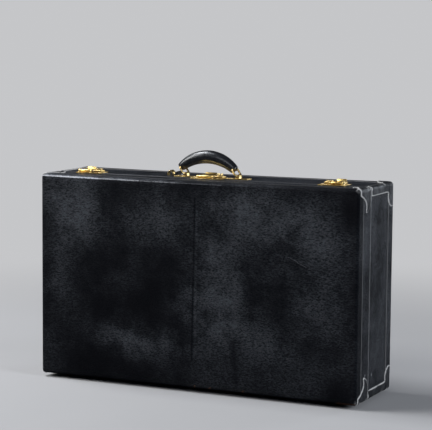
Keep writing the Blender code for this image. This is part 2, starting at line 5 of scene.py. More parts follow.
import bmesh
import bpy
from mathutils import Matrix, Vector, noise


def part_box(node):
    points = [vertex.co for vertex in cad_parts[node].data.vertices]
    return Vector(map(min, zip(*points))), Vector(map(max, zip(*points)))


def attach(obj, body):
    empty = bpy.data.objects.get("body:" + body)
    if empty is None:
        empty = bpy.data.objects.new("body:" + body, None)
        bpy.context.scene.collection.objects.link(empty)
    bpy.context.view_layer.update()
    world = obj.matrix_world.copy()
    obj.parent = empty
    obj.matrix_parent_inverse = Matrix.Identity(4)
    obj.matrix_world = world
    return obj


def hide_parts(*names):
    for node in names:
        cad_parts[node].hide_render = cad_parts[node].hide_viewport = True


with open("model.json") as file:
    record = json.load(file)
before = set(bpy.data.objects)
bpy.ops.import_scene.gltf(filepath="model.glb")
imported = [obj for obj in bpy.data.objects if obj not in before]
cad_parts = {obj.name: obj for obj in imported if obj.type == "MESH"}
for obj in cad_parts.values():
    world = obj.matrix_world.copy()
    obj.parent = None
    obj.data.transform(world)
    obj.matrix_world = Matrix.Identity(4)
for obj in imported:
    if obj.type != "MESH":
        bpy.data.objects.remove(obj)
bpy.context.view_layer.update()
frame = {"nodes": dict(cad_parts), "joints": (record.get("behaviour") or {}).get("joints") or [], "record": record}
print("frame loaded")

dice = random.Random(7)
scene = bpy.context.scene
record = frame["record"]
bodyOf = {node: body for body, nodes in record["behaviour"]["bodies"].items() for node in nodes}
slotOf = {part["node"]: part["material_slot"] for part in record["subparts"]}
jointAt = {joint["name"]: Vector(joint.get("pos_m", (0, 0, 0))) for joint in frame["joints"]}

# Places read from the frame
lidLow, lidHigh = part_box("lid_panel_leather")
lidBandLow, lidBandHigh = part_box("lid_band_leather")
backLow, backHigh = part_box("base_panel_leather")
baseBandLow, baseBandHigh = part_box("base_band_leather")
halfLength = lidHigh.x
bottomZ, topZ = lidLow.z, lidHigh.z
frontY, backY = lidLow.y, backHigh.y
seamY = (lidBandHigh.y + baseBandLow.y) / 2
bandTop = lidBandHigh.z
up, down = Vector((0, 0, 1)), Vector((0, 0, -1))


# Materials
class Recipe:
    def __init__(self, name):
        self.material = bpy.data.materials.new(name)
        self.material.use_nodes = True
        self.tree = self.material.node_tree
        self.shader = self.tree.nodes["Principled BSDF"]
        self.place = self.add("ShaderNodeTexCoord").outputs["Object"]

    def feed(self, node, inputs):
        for key, value in inputs.items():
            if isinstance(value, bpy.types.NodeSocket):
                self.tree.links.new(value, node.inputs[key])
            else:
                node.inputs[key].default_value = value

    def add(self, kind, inputs=None, **settings):
        node = self.tree.nodes.new(kind)
        for key, value in settings.items():
            setattr(node, key, value)
        self.feed(node, inputs or {})
        return node

    def noise(self, where, scale, detail=3, rough=0.5, distort=0.0):
        found = self.add("ShaderNodeTexNoise", {"Vector": where, "Scale": scale, "Detail": detail,
                                                "Roughness": rough, "Distortion": distort})
        return found.outputs["Fac"]

    def spread(self, value, low, high, newLow=0.0, newHigh=1.0, soft=True):
        found = self.add("ShaderNodeMapRange", {"Value": value, "From Min": low, "From Max": high, "To Min": newLow,
                                                "To Max": newHigh},
                         interpolation_type="SMOOTHSTEP" if soft else "LINEAR")
        return found.outputs["Result"]

    def sums(self, operation, first, second):
        return self.add("ShaderNodeMath", {0: first, 1: second}, operation=operation).outputs[0]

    def mix(self, share, first, second):
        node = self.add("ShaderNodeMix", data_type="RGBA")
        self.feed(node, {"Factor": share, 6: first, 7: second})
        return node.outputs[2]

    def bump(self, height, strength, distance, after=None):
        node = self.add("ShaderNodeBump", {"Height": height, "Strength": strength, "Distance": distance})
        if after is not None:
            self.feed(node, {"Normal": after})
        return node.outputs["Normal"]

    def stroke(self, where, start, end, width):
        # 1 on the line from start to end, falling to 0 at its width
        along = Vector(end) - Vector(start)
        offset = self.add("ShaderNodeVectorMath", {0: where, 1: start}, operation="SUBTRACT").outputs[0]
        reach = self.add("ShaderNodeVectorMath", {0: offset, 1: along / along.length_squared}, operation="DOT_PRODUCT")
        held = self.add("ShaderNodeClamp", {"Value": reach.outputs["Value"]}).outputs[0]
        nearest = self.add("ShaderNodeVectorMath", {0: along, "Scale": held}, operation="SCALE").outputs[0]
        away = self.add("ShaderNodeVectorMath", {0: offset, 1: nearest}, operation="DISTANCE").outputs["Value"]
        return self.spread(away, 0.0, width, 1.0, 0.0)

    def stretched(self, scale):
        return self.add("ShaderNodeMapping", {"Vector": self.place, "Scale": scale}).outputs["Vector"]


def leather(name, look):
    recipe = Recipe(name)
    where = recipe.stretched(look["stretch"])
    wobble = recipe.add("ShaderNodeTexNoise", {"Vector": where, "Scale": 140, "Detail": 2})
    bent = recipe.add("ShaderNodeVectorMath", {0: wobble.outputs["Color"], 1: (0.0030, 0.0030, 0.0030), 2: where},
                      operation="MULTIPLY_ADD").outputs[0]
    cells = recipe.add("ShaderNodeTexVoronoi", {"Vector": bent, "Scale": look["grain"]}, feature="DISTANCE_TO_EDGE")
    pebble = recipe.spread(cells.outputs["Distance"], 0.0, 0.22)
    fine = recipe.noise(recipe.place, 1500, 2)
    creases = recipe.noise(recipe.stretched(look["run"]), look["creases"], 4, 0.62, 0.5)
    crease = recipe.spread(creases, 0.34, 0.66)
    blotch = recipe.noise(recipe.place, look["blotch"], 4, 0.6)
    haze = recipe.noise(recipe.place, 22, 5, 0.62)
    sheen = recipe.add("ShaderNodeAttribute", attribute_name="sheen").outputs["Fac"]
    polishAndSheen = recipe.sums("ADD", recipe.spread(blotch, 0.34, 0.70, 0.0, look["patches"]),
                         recipe.sums("MULTIPLY", sheen, recipe.spread(haze, 0.28, 0.68, 0.25, 1.05)))
    wear = recipe.add("ShaderNodeAttribute", attribute_name="wear").outputs["Fac"]
    scratchy = recipe.noise(recipe.stretched((1, 1, 2.2)), 240, 4, 0.7)
    worn = recipe.spread(recipe.sums("ADD", wear, recipe.sums("MULTIPLY", scratchy, 0.75)), 0.74, 1.06)
    dust = recipe.spread(scratchy, 0.66, 0.80, 0.0, 0.30)
    shaken = recipe.add("ShaderNodeVectorMath", {0: wobble.outputs["Color"], 1: (0.0016, 0, 0.0016), 2: recipe.place},
                        operation="MULTIPLY_ADD").outputs[0]
    # Painted shade along the folds and a painted highlight beside the middle one
    for start, end, width, change in look["foldShadeAndHighlight"]:
        paintedFoldMask = recipe.stroke(shaken, start, end, width)
        polishAndSheen = recipe.sums("MULTIPLY", polishAndSheen, recipe.spread(paintedFoldMask, 0, 1, 1, 1 + change, False))
    # The colour runs from dark to light with the random blotches, with painted sheen where the sheen patches lie, and
    # with the painted shade and highlight of the folds
    lit = recipe.sums("MULTIPLY", polishAndSheen,
                      recipe.spread(crease, 0.0, 1.0, look["contrast"], 2 - look["contrast"], False))
    colour = recipe.mix(lit, look["dark"], look["light"])
    colour = recipe.mix(recipe.spread(pebble, 0.0, 0.5, 0.45, 0.0), colour, look["crease"])
    colour = recipe.mix(dust, colour, look["dust"])
    colour = recipe.mix(recipe.sums("MULTIPLY", worn, look["wear"]), colour, look["worn"])
    marksAndHighlights = recipe.noise(recipe.place, 420, 3, 0.7)
    for start, end, width, tone in look["marksAndHighlights"]:
        ragged = recipe.sums("MULTIPLY", recipe.stroke(shaken, start, end, width), recipe.spread(marksAndHighlights, 0.30, 0.60))
        colour = recipe.mix(recipe.spread(ragged, 0.15, 0.55, 0.0, tone[3]), colour, tone[:3] + (1,))
    rough = recipe.sums("ADD", recipe.spread(polishAndSheen, 0.0, 1.0, look["rough"][1], look["rough"][0]),
                        recipe.sums("MULTIPLY", worn, 0.18))
    gloss = recipe.spread(lit, 0.0, 1.1, look["gloss"][0], look["gloss"][1])
    normal = recipe.bump(creases, look["relief"], 0.0012)
    normal = recipe.bump(pebble, look["relief"], 0.00035, normal)
    normal = recipe.bump(fine, 0.25, 0.00010, normal)
    recipe.feed(recipe.shader, {"Base Color": colour, "Roughness": rough, "Normal": normal, "Specular IOR Level": gloss,
                                "Specular Tint": look["tint"], "Coat Weight": look["coat"], "Coat Roughness": 0.28})
    return recipe.material


def metal(name, look):
    recipe = Recipe(name)
    tarnish = recipe.noise(recipe.place, 130, 5, 0.65)
    spots = recipe.noise(recipe.place, 620, 3, 0.6)
    brush = recipe.noise(recipe.stretched(look["brush"]), 900, 3, 0.6)
    wear = recipe.add("ShaderNodeAttribute", attribute_name="wear").outputs["Fac"]
    colour = recipe.mix(recipe.spread(tarnish, 0.38, 0.66), look["bright"], look["dull"])
    colour = recipe.mix(recipe.spread(spots, 0.62, 0.74, 0.0, 0.6), colour, look["spot"])
    # Paler where the wear value is: worn screw heads, and worn bevelled edges that also carry a painted highlight
    colour = recipe.mix(recipe.sums("MULTIPLY", wear, 0.8), colour, look["edge"])
    rough = recipe.sums("ADD", recipe.spread(tarnish, 0.35, 0.7, *look["rough"]),
                        recipe.spread(brush, 0.3, 0.7, -0.04, 0.08))
    normal = recipe.bump(brush, 0.10, 0.00008)
    normal = recipe.bump(spots, 0.12, 0.00012, normal)
    recipe.feed(recipe.shader, {"Base Color": colour, "Roughness": rough, "Metallic": 1.0, "Normal": normal})
    return recipe.material


def cloth(name, look):
    recipe = Recipe(name)
    threads = []
    for direction in ("X", "Z"):
        wave = recipe.add("ShaderNodeTexWave", {"Vector": recipe.place, "Scale": look["weave"], "Distortion": 0.6,
                                                "Detail": 2, "Detail Scale": 1.5}, bands_direction=direction)
        threads.append(wave.outputs["Fac"])
    weave = recipe.sums("MULTIPLY", *threads)
    stain = recipe.noise(recipe.place, 9, 4, 0.6)
    colour = recipe.mix(recipe.spread(stain, 0.35, 0.7), look["dark"], look["light"])
    colour = recipe.mix(recipe.spread(weave, 0.1, 0.8, 0.35, 0.0), colour, look["shade"])
    recipe.feed(recipe.shader, {"Base Color": colour, "Roughness": look["rough"], "Sheen Weight": look["sheen"],
                                "Normal": recipe.bump(weave, 0.5, 0.0003)})
    return recipe.material


# Scratches and scuffs seen in the photograph, and a painted highlight along the top front edge: start, end, width, then
# colour and strength
# The palest colour serves both the bare scuffs and the painted highlight along the top front edge
pale, brown, bareAndHighlight = (0.090, 0.094, 0.105), (0.150, 0.070, 0.035), (0.720, 0.740, 0.800)
panelMarksAndHighlight = (
    ((0.201, -0.096, 0.282), (0.220, -0.096, 0.274), 0.0015, pale + (0.85,)),
    ((0.220, -0.096, 0.273), (0.238, -0.096, 0.265), 0.0013, pale + (0.75,)),
    ((0.0055, -0.095, 0.012), (0.0068, -0.095, 0.016), 0.0026, brown + (0.9,)),
    ((0.037, -0.095, 0.011), (0.040, -0.095, 0.015), 0.0030, brown + (0.9,)),
    ((0.108, -0.095, 0.012), (0.111, -0.095, 0.015), 0.0026, brown + (0.8,)),
    ((0.303, -0.094, 0.011), (0.338, -0.094, 0.012), 0.0040, brown + (0.5,)),
    # painted highlight along the top front edge, fading to the right
    ((-0.340, -0.0952, 0.4128), (-0.210, -0.0952, 0.4122), 0.0024, bareAndHighlight + (0.90,)),
    ((-0.210, -0.0952, 0.4122), (-0.120, -0.0952, 0.4118), 0.0022, bareAndHighlight + (0.50,)),
    ((-0.120, -0.0952, 0.4118), (-0.040, -0.0952, 0.4116), 0.0020, bareAndHighlight + (0.22,)),
    ((-0.040, -0.0952, 0.4116), (0.060, -0.0952, 0.4115), 0.0018, bareAndHighlight + (0.09,)),
    ((0.3428, -0.055, 0.052), (0.3428, -0.047, 0.060), 0.0026, bareAndHighlight + (0.9,)),
    ((0.3428, -0.013, 0.053), (0.3428, -0.008, 0.060), 0.0024, bareAndHighlight + (0.9,)),
)
# The upright fold down the middle of the lid and the softer one low on its right, painted as shade in the
# leather's colour, with a painted highlight beside the middle fold: start, end, width, change of sheen
lidFoldShadeAndHighlight = (
    ((-0.0005, -0.096, 0.066), (0.0015, -0.096, 0.215), 0.0036, -0.70),
    ((0.0015, -0.096, 0.215), (0.0040, -0.096, 0.385), 0.0030, -0.60),
    ((0.0060, -0.096, 0.075), (0.0085, -0.096, 0.380), 0.0040, 0.45),
    ((0.0950, -0.096, 0.030), (0.0880, -0.096, 0.105), 0.0110, -0.45),
)
leatherLooks = {
    "panel": {
        "dark": (0.0030, 0.0033, 0.0050, 1), "light": (0.0200, 0.0225, 0.0280, 1),
        "crease": (0.0012, 0.0013, 0.0018, 1), "dust": (0.045, 0.047, 0.052, 1),
        "worn": (0.230, 0.230, 0.235, 1), "wear": 0.85, "rough": (0.36, 0.56),
        "stretch": (1, 1, 2.1), "grain": 360, "run": (1, 1, 2.8), "creases": 215, "blotch": 6.0, "patches": 0.34,
        "relief": 1.0, "gloss": (0.05, 0.72), "coat": 0.0, "tint": (0.78, 0.86, 1.0, 1), "contrast": 0.32,
        "marksAndHighlights": panelMarksAndHighlight, "foldShadeAndHighlight": lidFoldShadeAndHighlight,
    },
    "cap": {
        "dark": (0.0060, 0.0066, 0.0085, 1), "light": (0.0260, 0.0275, 0.0310, 1), "crease": (0.003, 0.003, 0.004, 1),
        "dust": (0.080, 0.080, 0.082, 1), "worn": (0.470, 0.470, 0.465, 1), "wear": 1.0, "rough": (0.36, 0.54),
        "stretch": (1, 1, 1.3), "grain": 520, "run": (1, 1, 1.6), "creases": 170, "blotch": 30, "patches": 0.9,
        "relief": 0.35, "gloss": (0.25, 0.60), "coat": 0.0, "tint": (0.84, 0.91, 1.0, 1), "contrast": 0.55,
        "marksAndHighlights": (), "foldShadeAndHighlight": (),
    },
    "handle": {
        "dark": (0.0040, 0.0045, 0.0056, 1), "light": (0.0150, 0.0165, 0.0200, 1), "crease": (0.002, 0.002, 0.003, 1),
        "dust": (0.060, 0.056, 0.052, 1), "worn": (0.110, 0.075, 0.050, 1), "wear": 0.90, "rough": (0.20, 0.34),
        "stretch": (1, 1, 1), "grain": 620, "run": (0.5, 1, 1), "creases": 150, "blotch": 40, "patches": 0.9,
        "relief": 0.20, "gloss": (0.45, 0.60), "coat": 0.60, "tint": (0.86, 0.92, 1.0, 1), "contrast": 0.55,
        "marksAndHighlights": (), "foldShadeAndHighlight": (),
    },
    "rim": {
        "dark": (0.0100, 0.0085, 0.0075, 1), "light": (0.0300, 0.0260, 0.0230, 1), "crease": (0.004, 0.003, 0.003, 1),
        "dust": (0.070, 0.062, 0.054, 1), "worn": (0.160, 0.110, 0.075, 1), "wear": 0.85, "rough": (0.38, 0.55),
        "stretch": (1, 1, 1), "grain": 560, "run": (1, 1, 1), "creases": 190, "blotch": 26, "patches": 0.9,
        "relief": 0.40, "gloss": (0.20, 0.50), "coat": 0.0, "tint": (0.95, 0.95, 1.0, 1), "contrast": 0.5,
        "marksAndHighlights": (), "foldShadeAndHighlight": (),
    },
}
panelLeather = leather("panel_leather", leatherLooks["panel"])
capLeather = leather("cap_leather", leatherLooks["cap"])
handleLeather = leather("handle_leather", leatherLooks["handle"])
rimLeather = leather("rim_leather", leatherLooks["rim"])
brass = metal("old_brass", {
    "bright": (0.780, 0.575, 0.220, 1), "dull": (0.390, 0.262, 0.090, 1), "spot": (0.100, 0.060, 0.022, 1),
    "edge": (0.880, 0.700, 0.380, 1), "brush": (1, 1, 6), "rough": (0.24, 0.40)})
steel = metal("dull_steel", {
    "bright": (0.560, 0.550, 0.530, 1), "dull": (0.330, 0.320, 0.300, 1), "spot": (0.120, 0.090, 0.070, 1),
    "edge": (0.700, 0.690, 0.670, 1), "brush": (6, 1, 1), "rough": (0.28, 0.45)})
thread = cloth("waxed_thread", {
    "dark": (0.030, 0.029, 0.028, 1), "light": (0.070, 0.066, 0.060, 1), "shade": (0.010, 0.010, 0.010, 1),
    "weave": 700, "rough": 0.6, "sheen": 0.2})
liningCloth = cloth("lining_weave", {
    "dark": (0.330, 0.245, 0.160, 1), "light": (0.450, 0.350, 0.240, 1), "shade": (0.190, 0.130, 0.080, 1),
    "weave": 260, "rough": 0.85, "sheen": 0.4})
fibreBoard = cloth("fibre_board_layers", {
    "dark": (0.180, 0.110, 0.060, 1), "light": (0.260, 0.170, 0.100, 1), "shade": (0.090, 0.055, 0.030, 1),
    "weave": 420, "rough": 0.9, "sheen": 0.0})
print("materials made")


# Mesh tools
def smooth(value):
    value = max(0.0, min(1.0, value))
    return value * value * (3 - 2 * value)


def between(low, high, share):
    return low + (high - low) * share


def finishMesh(bm, name, material, body, replaced=(), angle=40):
    bmesh.ops.recalc_face_normals(bm, faces=bm.faces)
    mesh = bpy.data.meshes.new(name)
    bm.to_mesh(mesh)
    bm.free()
    mesh.materials.append(material)
    mesh.shade_smooth()
    mesh.set_sharp_from_angle(angle=math.radians(angle))
    piece = bpy.data.objects.new(name, mesh)
    scene.collection.objects.link(piece)
    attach(piece, body)
    if replaced:
        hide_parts(*replaced)
    return piece


def thicken(piece, wall, rim=0.0003):
    shell = piece.modifiers.new("wall", "SOLIDIFY")
    shell.thickness = wall
    shell.offset = -1
    edge = piece.modifiers.new("rolled_edge", "BEVEL")
    edge.affect = "EDGES"
    edge.width = rim
    edge.segments = 2
    edge.profile = 0.5
    edge.material = -1
    edge.limit_method = "ANGLE"
    edge.angle_limit = math.radians(50)


def gridFaces(bm, rows):
    for first, second in zip(rows, rows[1:]):
        for corners in zip(first, first[1:], second[1:], second):
            bm.faces.new(corners)


# The case's outer form
case = {
    "edgeRadius": 0.006,
    "panelWall": 0.0010,
    "bandWall": 0.0012,
    "sag": 0.0012,          # the long edges bend in at their middle
    "sagReach": 0.090,
    "swell": 0.0007,        # slow waves of the big panels
    "groove": 0.00040,      # the faint upright fold on the lid
    "step": 0.0075,
    "arcSteps": 4,
}


def settle(point):
    x, y, z = point
    share = 1 - min(1, abs(x) / halfLength) ** 2
    if y < seamY:
        outward = smooth((seamY - 0.020 - y) / 0.034)
        side, face = -1, frontY
    else:
        outward = smooth((y - backLow.y - 0.002) / 0.020)
        side, face = 1, backY
    above = smooth((z - topZ + case["sagReach"]) / case["sagReach"])
    below = smooth((bottomZ + case["sagReach"] - z) / case["sagReach"])
    near = smooth(1 - abs(y - face) / 0.004)
    inner = smooth((halfLength - abs(x)) / 0.05) * smooth((topZ - z) / 0.05) * smooth((z - bottomZ) / 0.05)
    wave = noise.noise(Vector((x * 7.5, side * 3.1, z * 9))) + 0.35 * noise.noise(Vector((x * 19, side * 5.3, z * 23)))
    y += side * case["swell"] * wave * near * inner
    if side < 0:
        fold = math.exp(-((x - 0.002 - 0.003 * math.sin(z * 21)) / 0.0045) ** 2)
        y += case["groove"] * fold * near * smooth((z - 0.05) / 0.05) * smooth((0.395 - z) / 0.03)
    return Vector((x, y, z + case["sag"] * share * outward * (below - above)))


def gridLines(low, high, radius, roundLow=True, roundHigh=True):
    turn = [radius - radius * math.tan(math.pi / 4 * (1 - step / case["arcSteps"]))
            for step in range(case["arcSteps"])]
    start = low + radius * roundLow
    end = high - radius * roundHigh
    count = max(1, math.ceil((end - start) / case["step"]))
    found = [low + offset for offset in turn] if roundLow else []
    found += [between(start, end, step / count) for step in range(count + 1)]
    if roundHigh:
        found += [high - offset for offset in reversed(turn)]
    return found


def skin(low, high, radius, face=None):
    # face is the side of the closed panel: -1 front, 1 back, None for an open band
    bm = bmesh.new()
    xs = gridLines(low.x, high.x, radius)
    zs = gridLines(low.z, high.z, radius)
    ys = gridLines(low.y, high.y, radius if face else 0, face == -1, face == 1)

    def vertex(x, y, z):
        core = Vector((min(max(x, low.x + radius), high.x - radius), y, min(max(z, low.z + radius), high.z - radius)))
        if face == -1:
            core.y = max(y, low.y + radius)
        if face == 1:
            core.y = min(y, high.y - radius)
        outward = Vector((x, y, z)) - core
        place = core + outward.normalized() * radius if outward.length > 1e-7 else Vector((x, y, z))
        return bm.verts.new(settle(place))

    for z in (low.z, high.z):
        gridFaces(bm, [[vertex(x, y, z) for x in xs] for y in ys])
    for x in (low.x, high.x):
        gridFaces(bm, [[vertex(x, y, z) for z in zs] for y in ys])
    if face:
        flat = low.y if face == -1 else high.y
        gridFaces(bm, [[vertex(x, flat, z) for x in xs] for z in zs])
    bmesh.ops.remove_doubles(bm, verts=bm.verts, dist=0.00002)
    return bm


def edgeWear(point, lipY):
    x, y, z = point
    sides = sorted((halfLength - abs(x), min(topZ - z, z - bottomZ), min(y - frontY, backY - y)))
    edge = smooth(1 - (sides[0] + sides[1]) / 0.0050)
    corner = smooth(1 - (sides[0] + sides[1] + sides[2]) / 0.022)
    lip = smooth(1 - abs(y - lipY) / 0.0034) * 0.80
    patch = 0.5 + 0.5 * noise.noise(Vector((x, y, z)) * 31)
    low = 0.18 * smooth(1 - (z - bottomZ) / 0.03)
    # the top's seam is rubbed bright beside the left latch
    lip *= 1 + 0.7 * smooth(1 - abs(x + 0.17) / 0.10) * smooth(1 - (topZ - z) / 0.01)
    return min(1, edge * (0.22 + 0.42 * patch) + corner * 0.75 + lip + low * edge * 2)


def paintWearAndSheen(bm, worth, shine):
    wearLayer = bm.verts.layers.float.new("wear")
    shineLayer = bm.verts.layers.float.new("sheen")
    for vert in bm.verts:
        vert[wearLayer] = worth(vert.co)
        vert[shineLayer] = shine(vert.co)


# Soft patches where the lid's leather is glossier and its colour is painted lighter as sheen: place, half sizes and
# strength
lidShine = [
    ((-0.255, 0.330), (0.075, 0.060), 0.70), ((-0.120, 0.085), (0.095, 0.028), 0.75),
    ((0.070, 0.130), (0.060, 0.040), 0.60), ((0.105, 0.345), (0.075, 0.050), 0.60),
    ((0.225, 0.330), (0.060, 0.050), 0.55), ((0.060, 0.235), (0.050, 0.060), 0.40),
    ((-0.060, 0.330), (0.050, 0.050), 0.40), ((-0.300, 0.200), (0.020, 0.100), 0.25),
    ((0.250, 0.200), (0.060, 0.080), 0.35), ((0.170, 0.090), (0.050, 0.030), 0.35),
    ((0.150, 0.250), (0.180, 0.120), 0.16), ((0.030, 0.190), (0.065, 0.070), 0.45),
    # painted highlight along the left part of the top front edge
    ((-0.260, 0.4075), (0.190, 0.0050), 1.0),
]
plainSheen = {"panel": 0.45, "band": 0.4}


def lidSheen(point):
    x, y, z = point
    if y > frontY + 0.02:
        return plainSheen["panel"]
    total = 0
    for (atX, atZ), (halfX, halfZ), strength in lidShine:
        bend = 0.35 * noise.noise(Vector((x * 14, 2.0, z * 14)))
        away = ((x - atX) / halfX) ** 2 + ((z - bottomZ - atZ) / halfZ) ** 2
        total += strength * math.exp(-away * (1 + bend))
    return min(1, total)


panels = (("lid", lidLow, lidHigh, -1, lidHigh.y), ("base", backLow, backHigh, 1, backLow.y))
bands = (("lid", lidBandLow, lidBandHigh, lidBandHigh.y), ("base", baseBandLow, baseBandHigh, baseBandLow.y))
for word, low, high, face, lipY in panels:
    bm = skin(low, high, case["edgeRadius"], face)
    paintWearAndSheen(bm, lambda co: edgeWear(co, lipY), lidSheen if word == "lid" else lambda co: plainSheen["panel"])
    node = word + "_panel_leather"
    thicken(finishMesh(bm, word + "_panel_skin", panelLeather, word, [node]), case["panelWall"])
for word, low, high, seamEdge in bands:
    bm = skin(low, high, case["edgeRadius"] - (topZ - bandTop))
    paintWearAndSheen(bm, lambda co: edgeWear(co, seamEdge) * 0.8, lambda co: plainSheen["band"])
    node = word + "_band_leather"
    thicken(finishMesh(bm, word + "_band_skin", panelLeather, word, [node]), case["bandWall"])
print("case skins made")


# Stitching, collected for each body and built at the end
stitchLook = {"pitch": 0.0040, "length": 0.0029, "radius": 0.00034, "sides": 5, "fromEdge": 0.0028}
stitches = {}


def stitchRow(body, path, normals, closed=False):
    rows = stitches.setdefault(body, [])
    count = len(path)
    pairs = [(i, (i + 1) % count) for i in range(count if closed else count - 1)]
    carry = stitchLook["pitch"] / 2
    for i, j in pairs:
        gap = (path[j] - path[i]).length
        while carry < gap:
            share = carry / gap
            rows.append((path[i].lerp(path[j], share), (path[j] - path[i]).normalized(),
                         normals[i].lerp(normals[j], share).normalized()))
            carry += stitchLook["pitch"]
        carry -= gap


def buildStitches():
    half, radius, sides = stitchLook["length"] / 2, stitchLook["radius"], stitchLook["sides"]
    for body, rows in stitches.items():
        bm = bmesh.new()
        for place, along, normal in rows:
            along = (along + normal.cross(along) * dice.uniform(-0.10, 0.10)).normalized()
            side = normal.cross(along).normalized()
            rings = []
            for offset, size, lift in ((-1, 0.35, -0.9), (-0.72, 1, 0.25), (0.72, 1, 0.25), (1, 0.35, -0.9)):
                centre = place + along * half * offset + normal * radius * lift
                rings.append([bm.verts.new(centre + (side * math.cos(turn) + normal * math.sin(turn)) * radius * size)
                              for turn in (2 * math.pi * k / sides for k in range(sides))])
            for first, second in zip(rings, rings[1:]):
                for k in range(sides):
                    bm.faces.new((first[k], first[(k + 1) % sides], second[(k + 1) % sides], second[k]))
            bm.faces.new(rings[0])
            bm.faces.new(rings[-1])
        finishMesh(bm, body + "_stitching", thread, body)


def perimeterRow(body, y):
    radius = case["edgeRadius"]
    halfHeight = (topZ - bottomZ) / 2
    path, normals = [], []
    for quarter, (sideX, sideZ) in enumerate(((1, 1), (-1, 1), (-1, -1), (1, -1))):
        centre = Vector((sideX * (halfLength - radius), 0, bottomZ + halfHeight + sideZ * (halfHeight - radius)))
        for step in range(7):
            turn = math.radians(90 * quarter + 15 * step)
            outward = Vector((math.cos(turn), 0, math.sin(turn)))
            path.append(centre + outward * radius + Vector((0, y, 0)))
            normals.append(outward)
    dense, denseNormals = [], []
    for i in range(len(path)):
        j = (i + 1) % len(path)
        parts = max(1, round((path[j] - path[i]).length / 0.02))
        for step in range(parts):
            dense.append(settle(path[i].lerp(path[j], step / parts)))
            denseNormals.append(normals[i].lerp(normals[j], step / parts).normalized())
    stitchRow(body, dense, denseNormals, closed=True)


perimeterRow("lid", lidHigh.y - stitchLook["fromEdge"])
perimeterRow("base", backLow.y + stitchLook["fromEdge"])


# Corner caps
caps = {
    "thickness": 0.0013,
    "skive": 0.0016,        # width of the thinned edge
    "reach": 0.048,
    "wing": 0.030,
    "columns": 44,
    "stitchInset": 0.0030,
    "wearWidth": 0.0040,
    "wearAbove": 0.62,      # least wear of the outlines of the upper caps
    "wearBelow": 0.45,
    "strip": 0.019,
}
# Outlines of the caps: share of the depth, share of the reach
lidCap = [(0.10, 0.28), (0.26, 0.36), (0.42, 0.45), (0.53, 0.55), (0.585, 0.66), (0.59, 0.78), (0.57, 0.89),
          (0.60, 0.97), (0.66, 1.00), (0.76, 0.94), (0.86, 0.84), (0.93, 0.70), (0.96, 0.52)]
basePetal = [(1.10, 0.42), (1.12, 0.60), (1.03, 0.78), (0.84, 0.91), (0.60, 0.98), (0.38, 1.00), (0.20, 0.98)]


def curveThrough(points, parts):
    # smooth line through the points, with the same number of parts between each two
    found = []
    for i in range(len(points) - 1):
        a, b, c, d = (Vector(points[max(0, min(len(points) - 1, i + k))]) for k in (-1, 0, 1, 2))
        for step in range(parts):
            t = step / parts
            found.append(0.5 * (2 * b + (c - a) * t + (2 * a - 5 * b + 4 * c - d) * t ** 2
                                + (3 * b - a - 3 * c + d) * t ** 3))
    found.append(Vector(points[-1]))
    return found


def distanceTo(point, line):
    best = 1e9
    for a, b in zip(line, line[1:]):
        step = b - a
        share = max(0, min(1, (point - a).dot(step) / max(step.length_squared, 1e-12)))
        best = min(best, (point - a - step * share).length)
    return best


def capOutline(word, reach, strip):
    if word == "lid":
        depth = lidBandHigh.y - frontY
        return [(across * depth, out * reach) for across, out in curveThrough(lidCap, 4)]
    turnover = backY - backLow.y
    petal = [(across * turnover, out * reach) for across, out in curveThrough(basePetal, 4)]
    seamSide = backY - baseBandLow.y - 0.0015
    strips = 16
    return [(between(seamSide, petal[0][0], k / strips), strip) for k in range(strips)] + petal


